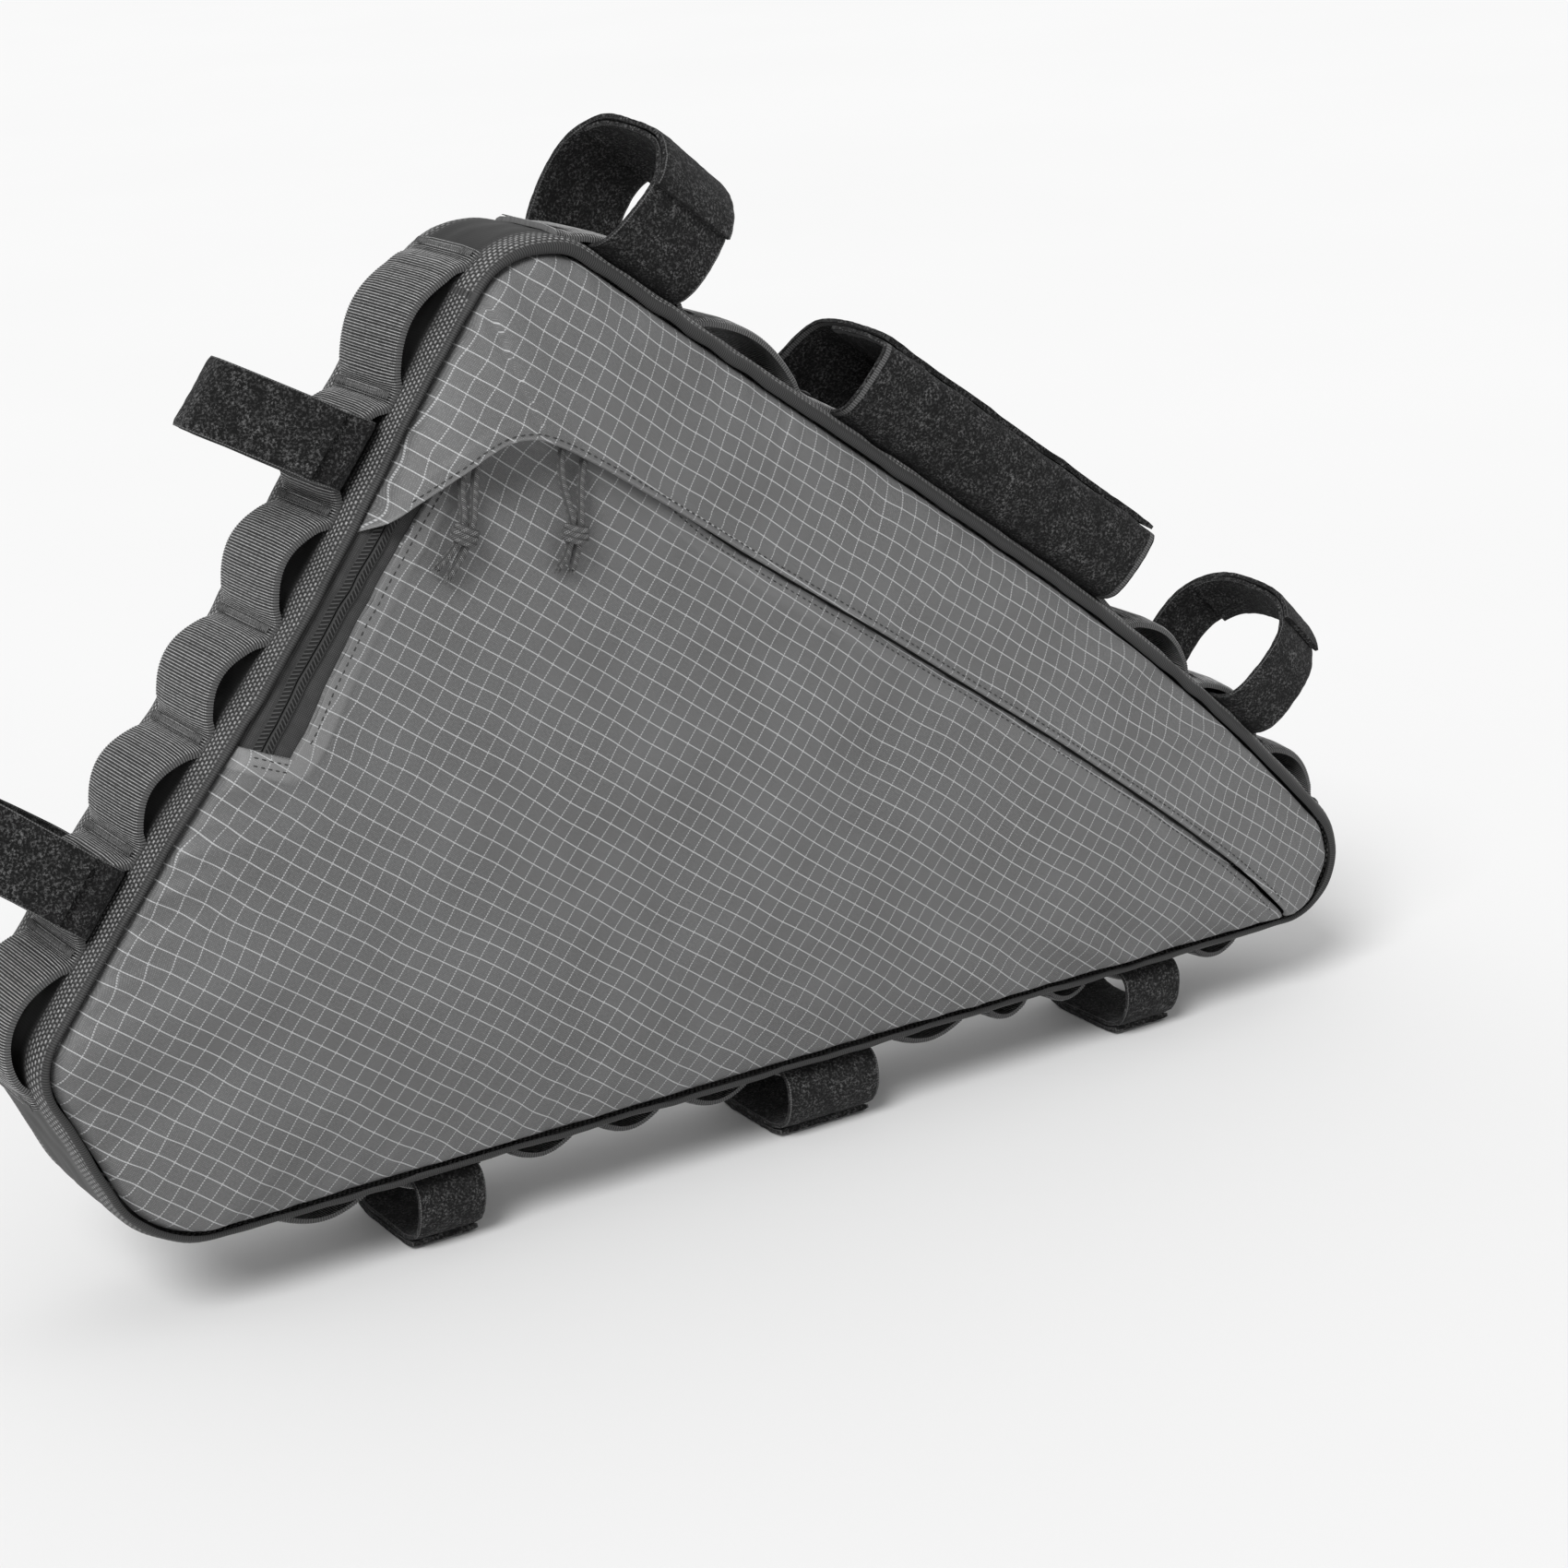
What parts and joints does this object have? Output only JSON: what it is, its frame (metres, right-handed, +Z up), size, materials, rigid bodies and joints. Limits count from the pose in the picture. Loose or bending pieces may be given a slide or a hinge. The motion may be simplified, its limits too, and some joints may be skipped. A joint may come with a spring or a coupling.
{
  "type": "bicycle frame bag",
  "caption": "Bicycle frame bag with a curved zipper under a storm flap, arched webbing on its edges and strap loops for the frame tubes, standing on its lower loops.",
  "frame": {"origin": "centre of the bounding box without the zipper pulls, on the plane that the lower loops stand on", "axes": "+X along the lower edge towards the nose of the bag, +Y from the zipper side to the plain side, +Z up"},
  "size_m": [0.5426, 0.0944, 0.3676],
  "materials": {
    "ripstop": "semi-matt grey ripstop laminate with a 6 mm grid",
    "gusset_cloth": "matt coarse woven cloth",
    "webbing": "ribbed woven webbing",
    "hook_loop": "short-napped hook and loop tape",
    "tape": "matt woven zipper tape",
    "coil": "moulded coil teeth",
    "slider": "satin",
    "cord": "braided cord with light flecks"
  },
  "bodies": {
    "root": {"gusset": "gusset_cloth", "back_panel": "ripstop", "front_lower_panel": "ripstop", "front_flap_panel": "ripstop", "zipper_tape": "tape", "zipper_coil": "coil", "zipper_slider_upper": "slider", "zipper_slider_lower": "slider", "pull_cord_upper_left": "cord", "pull_cord_upper_right": "cord", "pull_knot_upper": "cord", "pull_cord_lower_left": "cord", "pull_cord_lower_right": "cord", "pull_knot_lower": "cord", "webbing_seat": "webbing", "webbing_top": "webbing", "webbing_down": "webbing", "strap_top_rear": "hook_loop", "strap_top_wide": "hook_loop", "strap_top_front": "hook_loop", "strap_seat_upper": "hook_loop", "strap_seat_lower": "hook_loop", "strap_down_rear": "hook_loop", "strap_down_middle": "hook_loop", "strap_down_front": "hook_loop"}
  },
  "joints": []
}
